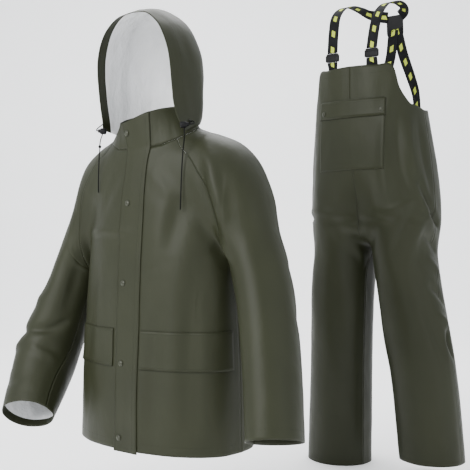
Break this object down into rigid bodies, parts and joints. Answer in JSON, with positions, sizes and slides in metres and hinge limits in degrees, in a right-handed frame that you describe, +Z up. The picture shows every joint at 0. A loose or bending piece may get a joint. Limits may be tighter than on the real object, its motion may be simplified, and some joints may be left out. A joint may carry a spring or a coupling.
{
  "type": "rain suit",
  "caption": "Two-piece rain suit: hooded jacket with storm flap and snap closure, and bib overalls with crossed webbing braces, shown filled out.",
  "frame": {"origin": "middle of the jacket's neck opening, where the wearer's shoulders hold it", "axes": "+Z up along the standing garments; both face -Y turned 37 degrees to their right, and the overalls stand behind on the jacket's left"},
  "size_m": [1.3667, 1.2534, 1.5706],
  "materials": {
    "cloth": "smooth matte coating, dark olive, pale grey knit inside",
    "webbing": "black woven webbing",
    "plastic": "black moulded plastic",
    "snap": "olive painted snap cap, satin",
    "eyelet": "dark eyelet, satin",
    "cord": "black braided cord"
  },
  "bodies": {
    "root": {"jacket_front_left": "cloth", "jacket_front_right": "cloth", "jacket_back": "cloth", "jacket_sleeve_left": "cloth", "jacket_sleeve_right": "cloth", "jacket_collar": "cloth", "hood_left": "cloth", "hood_right": "cloth", "storm_flap": "cloth", "pocket_flap_left": "cloth", "pocket_flap_right": "cloth", "bib_front_left": "cloth", "bib_front_right": "cloth", "bib_back_left": "cloth", "bib_back_right": "cloth", "bib_pocket": "cloth", "bib_pocket_flap": "cloth", "brace_tab_left": "webbing", "brace_tab_right": "webbing", "brace_over_left": "webbing", "brace_over_right": "webbing", "brace_back_left": "webbing", "brace_back_right": "webbing", "brace_buckle_left": "plastic", "brace_buckle_right": "plastic", "brace_patch": "plastic", "cord_lock_left": "plastic", "cord_lock_right": "plastic", "flap_snap_1": "snap", "flap_snap_2": "snap", "flap_snap_3": "snap", "flap_snap_4": "snap", "flap_snap_5": "snap", "pocket_snap_left": "snap", "pocket_snap_right": "snap", "hood_eyelet_left": "eyelet", "hood_eyelet_right": "eyelet", "hood_cord_left_upper": "cord", "hood_cord_left_tail": "cord", "hood_cord_right_upper": "cord", "hood_cord_right_knot": "cord", "hood_cord_right_tail": "cord", "cord_knot_right": "cord"}
  },
  "joints": []
}
